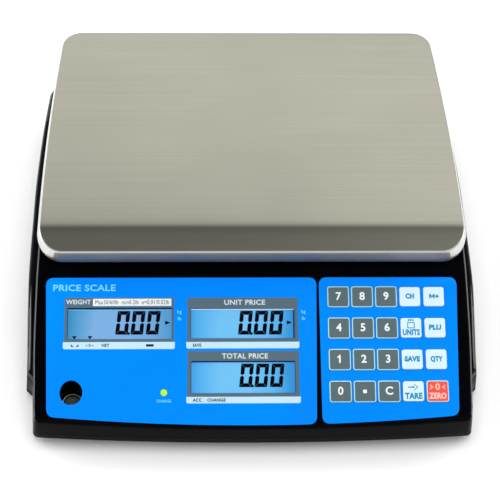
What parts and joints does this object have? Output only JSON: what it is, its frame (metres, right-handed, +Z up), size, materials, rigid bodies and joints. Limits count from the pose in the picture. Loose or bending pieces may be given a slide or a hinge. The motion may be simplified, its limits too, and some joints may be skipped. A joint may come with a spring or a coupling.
{
  "type": "retail price scale",
  "caption": "Counter price-computing scale: bent-front steel platter on a load-cell platform, sloped black console with three displays, a level and a membrane keypad.",
  "frame": {"origin": "centre of the footprint on the floor, under the feet", "axes": "+X to the operator's right, +Y away from the operator, +Z up"},
  "size_m": [0.3566, 0.3466, 0.1],
  "materials": {
    "stainless_platter": "brushed along the width",
    "cast_support": "grey enamel",
    "pad_rubber": "matt",
    "spacer_aluminium": "milled",
    "cell_aluminium": "milled",
    "screw_steel": "zinc plated",
    "housing_black": "gloss",
    "tray_black": "fine grain",
    "foot_rubber": "matt",
    "panel_blue": "satin printed film",
    "circuit_green": "solder mask",
    "key_grey": "satin",
    "key_white": "satin",
    "key_red": "satin",
    "vial_clear": "clear",
    "battery_case": "matt",
    "switch_black": "satin",
    "inlet_black": "matt",
    "lens_clear": "smoked",
    "lcd_glass": "backlit display",
    "lamp_lens": "lit lamp"
  },
  "bodies": {
    "housing": {"load_cell": "cell_aluminium", "load_cell_base_spacer": "spacer_aluminium", "base_screw_outer": "screw_steel", "base_screw_inner": "screw_steel", "top_cover": "housing_black", "base_tray": "tray_black", "display_overlay": "panel_blue", "lcd_weight": "lcd_glass", "lcd_unit_price": "lcd_glass", "lcd_total_price": "lcd_glass", "display_board": "circuit_green", "keypad_overlay": "panel_blue", "keypad_board": "circuit_green", "level_vial": "vial_clear", "charge_lamp": "lamp_lens", "main_board": "circuit_green", "battery": "battery_case", "switch_bezel": "switch_black", "power_inlet": "inlet_black", "rear_lens": "lens_clear", "rear_lcd": "lcd_glass"},
    "platform": {"platter_support": "cast_support", "platter_pad_front_left": "pad_rubber", "platter_pad_front_right": "pad_rubber", "platter_pad_rear_left": "pad_rubber", "platter_pad_rear_right": "pad_rubber", "support_spacer": "spacer_aluminium", "support_screw_outer": "screw_steel", "support_screw_inner": "screw_steel"},
    "platter": {"platter": "stainless_platter"},
    "foot_front_left": {"foot_front_left": "foot_rubber"},
    "foot_front_right": {"foot_front_right": "foot_rubber"},
    "foot_rear_left": {"foot_rear_left": "foot_rubber"},
    "foot_rear_right": {"foot_rear_right": "foot_rubber"},
    "key_7": {"key_7": "key_grey"},
    "key_8": {"key_8": "key_grey"},
    "key_9": {"key_9": "key_grey"},
    "key_change": {"key_change": "key_white"},
    "key_memory_add": {"key_memory_add": "key_white"},
    "key_4": {"key_4": "key_grey"},
    "key_5": {"key_5": "key_grey"},
    "key_6": {"key_6": "key_grey"},
    "key_units": {"key_units": "key_white"},
    "key_plu": {"key_plu": "key_white"},
    "key_1": {"key_1": "key_grey"},
    "key_2": {"key_2": "key_grey"},
    "key_3": {"key_3": "key_grey"},
    "key_save": {"key_save": "key_white"},
    "key_quantity": {"key_quantity": "key_white"},
    "key_0": {"key_0": "key_grey"},
    "key_decimal": {"key_decimal": "key_grey"},
    "key_clear": {"key_clear": "key_grey"},
    "key_tare": {"key_tare": "key_white"},
    "key_zero": {"key_zero": "key_red"},
    "battery_door": {"battery_door": "tray_black"},
    "power_switch": {"power_switch": "switch_black"}
  },
  "joints": [
    {"name": "platform_travel", "type": "slide", "parent": "housing", "child": "platform", "axis": [0, 0, 1], "range_m": [-0.0007, 0], "stiffness_N_per_m": 400000, "springref_m": 0.00008, "deforming": ["load_cell"]},
    {"name": "platter_lift", "type": "slide", "parent": "platform", "child": "platter", "axis": [0, 0, 1], "range_m": [0, 0.08]},
    {"name": "foot_front_left_screw", "type": "slide", "parent": "housing", "child": "foot_front_left", "axis": [0, 0, 1], "range_m": [-0.003, 0.005]},
    {"name": "foot_front_right_screw", "type": "slide", "parent": "housing", "child": "foot_front_right", "axis": [0, 0, 1], "range_m": [-0.003, 0.005]},
    {"name": "foot_rear_left_screw", "type": "slide", "parent": "housing", "child": "foot_rear_left", "axis": [0, 0, 1], "range_m": [-0.003, 0.005]},
    {"name": "foot_rear_right_screw", "type": "slide", "parent": "housing", "child": "foot_rear_right", "axis": [0, 0, 1], "range_m": [-0.003, 0.005]},
    {"name": "key_7_press", "type": "slide", "parent": "housing", "child": "key_7", "axis": [0, 0.4125, -0.911], "range_m": [0, 0.0006], "stiffness_N_per_m": 300, "springref_m": -0.0004},
    {"name": "key_8_press", "type": "slide", "parent": "housing", "child": "key_8", "axis": [0, 0.4125, -0.911], "range_m": [0, 0.0006], "stiffness_N_per_m": 300, "springref_m": -0.0004},
    {"name": "key_9_press", "type": "slide", "parent": "housing", "child": "key_9", "axis": [0, 0.4125, -0.911], "range_m": [0, 0.0006], "stiffness_N_per_m": 300, "springref_m": -0.0004},
    {"name": "key_change_press", "type": "slide", "parent": "housing", "child": "key_change", "axis": [0, 0.4125, -0.911], "range_m": [0, 0.0006], "stiffness_N_per_m": 300, "springref_m": -0.0004},
    {"name": "key_memory_add_press", "type": "slide", "parent": "housing", "child": "key_memory_add", "axis": [0, 0.4125, -0.911], "range_m": [0, 0.0006], "stiffness_N_per_m": 300, "springref_m": -0.0004},
    {"name": "key_4_press", "type": "slide", "parent": "housing", "child": "key_4", "axis": [0, 0.4125, -0.911], "range_m": [0, 0.0006], "stiffness_N_per_m": 300, "springref_m": -0.0004},
    {"name": "key_5_press", "type": "slide", "parent": "housing", "child": "key_5", "axis": [0, 0.4125, -0.911], "range_m": [0, 0.0006], "stiffness_N_per_m": 300, "springref_m": -0.0004},
    {"name": "key_6_press", "type": "slide", "parent": "housing", "child": "key_6", "axis": [0, 0.4125, -0.911], "range_m": [0, 0.0006], "stiffness_N_per_m": 300, "springref_m": -0.0004},
    {"name": "key_units_press", "type": "slide", "parent": "housing", "child": "key_units", "axis": [0, 0.4125, -0.911], "range_m": [0, 0.0006], "stiffness_N_per_m": 300, "springref_m": -0.0004},
    {"name": "key_plu_press", "type": "slide", "parent": "housing", "child": "key_plu", "axis": [0, 0.4125, -0.911], "range_m": [0, 0.0006], "stiffness_N_per_m": 300, "springref_m": -0.0004},
    {"name": "key_1_press", "type": "slide", "parent": "housing", "child": "key_1", "axis": [0, 0.4125, -0.911], "range_m": [0, 0.0006], "stiffness_N_per_m": 300, "springref_m": -0.0004},
    {"name": "key_2_press", "type": "slide", "parent": "housing", "child": "key_2", "axis": [0, 0.4125, -0.911], "range_m": [0, 0.0006], "stiffness_N_per_m": 300, "springref_m": -0.0004},
    {"name": "key_3_press", "type": "slide", "parent": "housing", "child": "key_3", "axis": [0, 0.4125, -0.911], "range_m": [0, 0.0006], "stiffness_N_per_m": 300, "springref_m": -0.0004},
    {"name": "key_save_press", "type": "slide", "parent": "housing", "child": "key_save", "axis": [0, 0.4125, -0.911], "range_m": [0, 0.0006], "stiffness_N_per_m": 300, "springref_m": -0.0004},
    {"name": "key_quantity_press", "type": "slide", "parent": "housing", "child": "key_quantity", "axis": [0, 0.4125, -0.911], "range_m": [0, 0.0006], "stiffness_N_per_m": 300, "springref_m": -0.0004},
    {"name": "key_0_press", "type": "slide", "parent": "housing", "child": "key_0", "axis": [0, 0.4125, -0.911], "range_m": [0, 0.0006], "stiffness_N_per_m": 300, "springref_m": -0.0004},
    {"name": "key_decimal_press", "type": "slide", "parent": "housing", "child": "key_decimal", "axis": [0, 0.4125, -0.911], "range_m": [0, 0.0006], "stiffness_N_per_m": 300, "springref_m": -0.0004},
    {"name": "key_clear_press", "type": "slide", "parent": "housing", "child": "key_clear", "axis": [0, 0.4125, -0.911], "range_m": [0, 0.0006], "stiffness_N_per_m": 300, "springref_m": -0.0004},
    {"name": "key_tare_press", "type": "slide", "parent": "housing", "child": "key_tare", "axis": [0, 0.4125, -0.911], "range_m": [0, 0.0006], "stiffness_N_per_m": 300, "springref_m": -0.0004},
    {"name": "key_zero_press", "type": "slide", "parent": "housing", "child": "key_zero", "axis": [0, 0.4125, -0.911], "range_m": [0, 0.0006], "stiffness_N_per_m": 300, "springref_m": -0.0004},
    {"name": "battery_door_hinge", "type": "hinge", "parent": "housing", "child": "battery_door", "pos_m": [0.07, -0.0456, 0.004], "axis": [-1, 0, 0], "range_deg": [0, 100]},
    {"name": "power_switch_rock", "type": "hinge", "parent": "housing", "child": "power_switch", "pos_m": [-0.118, 0.1685, 0.024], "axis": [1, 0, 0], "range_deg": [-11, 11]}
  ]
}
